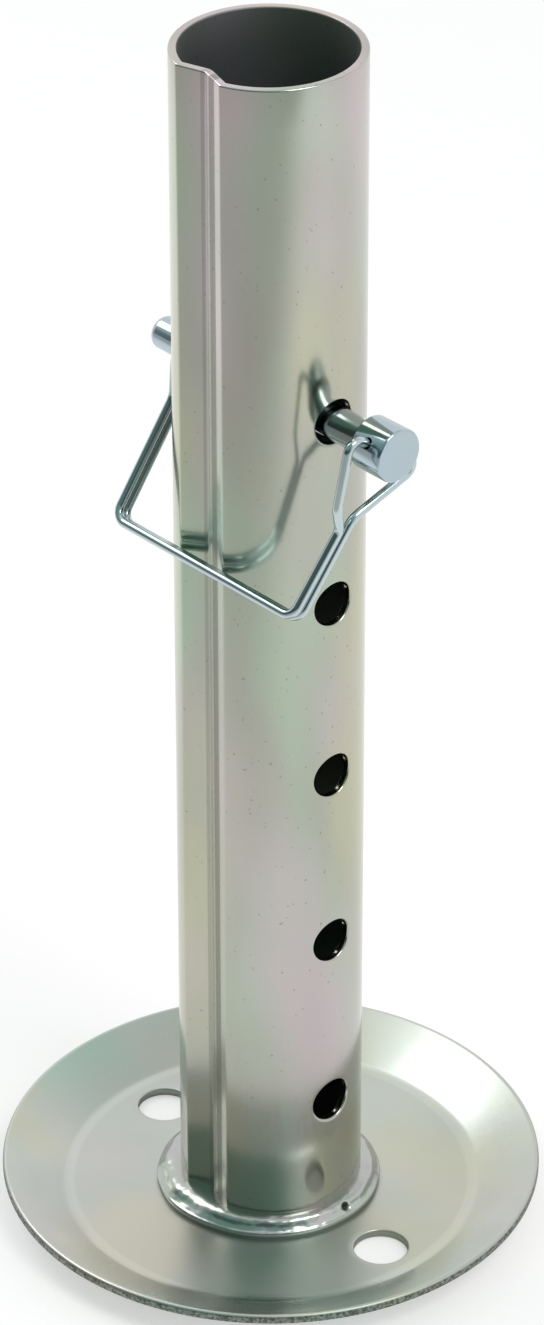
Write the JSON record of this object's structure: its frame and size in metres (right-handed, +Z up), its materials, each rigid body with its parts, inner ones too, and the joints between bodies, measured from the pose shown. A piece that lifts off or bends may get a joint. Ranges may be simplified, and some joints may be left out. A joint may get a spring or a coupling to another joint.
{
  "type": "trailer jack drop leg with foot plate and lock pin",
  "caption": "Fluted, cross-drilled tubular drop leg on a dished round foot plate, with a headed lock pin held in the leg by a folded spring-wire loop.",
  "frame": {"origin": "centre of the foot plate's underside, on the leg's axis", "axes": "+Z up the leg; +X along the lock pin towards its head; the leg's flute faces -Y"},
  "size_m": [0.1446, 0.1446, 0.337],
  "materials": {
    "zinc_plate": "bright zinc plated, satin sheen",
    "zinc_tube": "bright zinc plated with a faint yellow-green tint",
    "weld_metal": "rippled weld under zinc plating",
    "zinc_pin": "bluish bright zinc",
    "zinc_wire": "bluish bright zinc on drawn spring wire"
  },
  "bodies": {
    "leg": {"leg_tube": "zinc_tube", "foot_plate": "zinc_plate", "weld_bead": "weld_metal"},
    "pin": {"lock_pin": "zinc_pin", "lock_wire": "zinc_wire"}
  },
  "joints": [
    {"name": "pin_turn", "type": "hinge", "parent": "leg", "child": "pin", "pos_m": [0, 0, 0.2443], "axis": [-1, 0, 0], "range_deg": [0, 110]}
  ]
}
